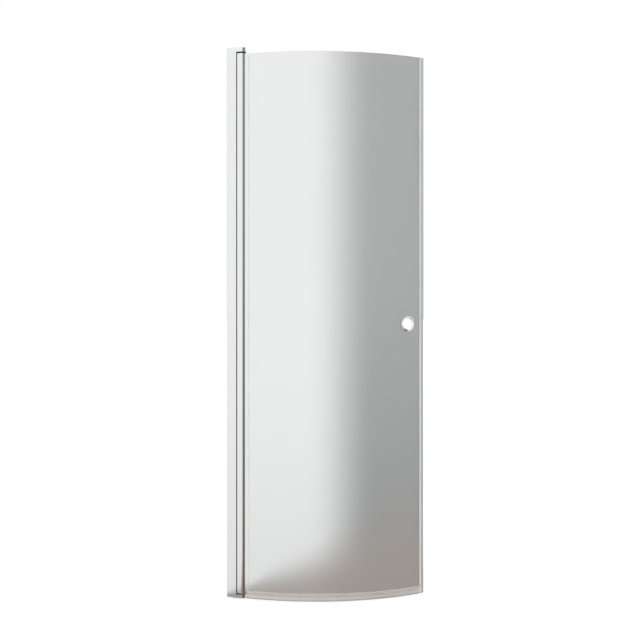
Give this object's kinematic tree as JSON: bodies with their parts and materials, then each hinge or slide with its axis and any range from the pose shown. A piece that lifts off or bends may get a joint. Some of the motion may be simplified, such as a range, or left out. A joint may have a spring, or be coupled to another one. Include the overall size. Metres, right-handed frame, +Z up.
{
  "type": "curved shower door",
  "caption": "Curved satin-glass shower door on an adjustable wall channel, swinging on a pivot profile between two brackets, with clip-on seals and a ring grip through the glass.",
  "frame": {"origin": "foot of the wall channel's back face, half way across the channel, at floor level", "axes": "+X out from the wall along the start of the closed door, +Y into the shower, +Z up"},
  "size_m": [0.6549, 0.2721, 1.95],
  "materials": {
    "aluminium": "polished anodised",
    "chrome": "polished",
    "satin_glass": "satin",
    "clear_plastic": "clear",
    "black_plastic": "moulded",
    "white_plastic": "moulded",
    "grey_plastic": "moulded",
    "grey_rubber": "extruded",
    "steel": "turned"
  },
  "bodies": {
    "wall_body": {"wall_channel": "aluminium", "lock_screws": "steel", "lock_caps": "grey_plastic"},
    "hinge_frame": {"adjust_profile": "aluminium", "hinge_wiper": "grey_rubber", "top_bracket": "chrome", "top_cover": "chrome", "top_bracket_screws": "steel", "top_pin": "steel", "top_washer": "black_plastic", "bottom_bracket": "chrome", "bottom_bracket_screws": "steel", "bottom_pin": "steel", "bottom_washer": "black_plastic"},
    "door": {"pivot_profile": "aluminium", "top_plug": "black_plastic", "top_bush": "white_plastic", "bottom_plug": "black_plastic", "bottom_bush": "white_plastic", "plug_grub_screws": "steel", "setting_block": "grey_rubber", "glazing_gasket_outer": "clear_plastic", "glazing_gasket_inner": "clear_plastic", "glass_panel": "satin_glass", "bottom_seal": "clear_plastic", "edge_seal": "clear_plastic", "grip_ring_outer": "chrome", "grip_ring_inner": "chrome", "grip_gasket_outer": "clear_plastic", "grip_gasket_inner": "clear_plastic", "grip_sleeve": "clear_plastic"}
  },
  "joints": [
    {"name": "adjust_slide", "type": "slide", "parent": "wall_body", "child": "hinge_frame", "axis": [1, 0, 0], "range_m": [-0.006, 0.006]},
    {"name": "door_swing", "type": "hinge", "parent": "hinge_frame", "child": "door", "pos_m": [0.0542, 0, 0], "axis": [0, 0, -1], "range_deg": [-65, 10]}
  ]
}
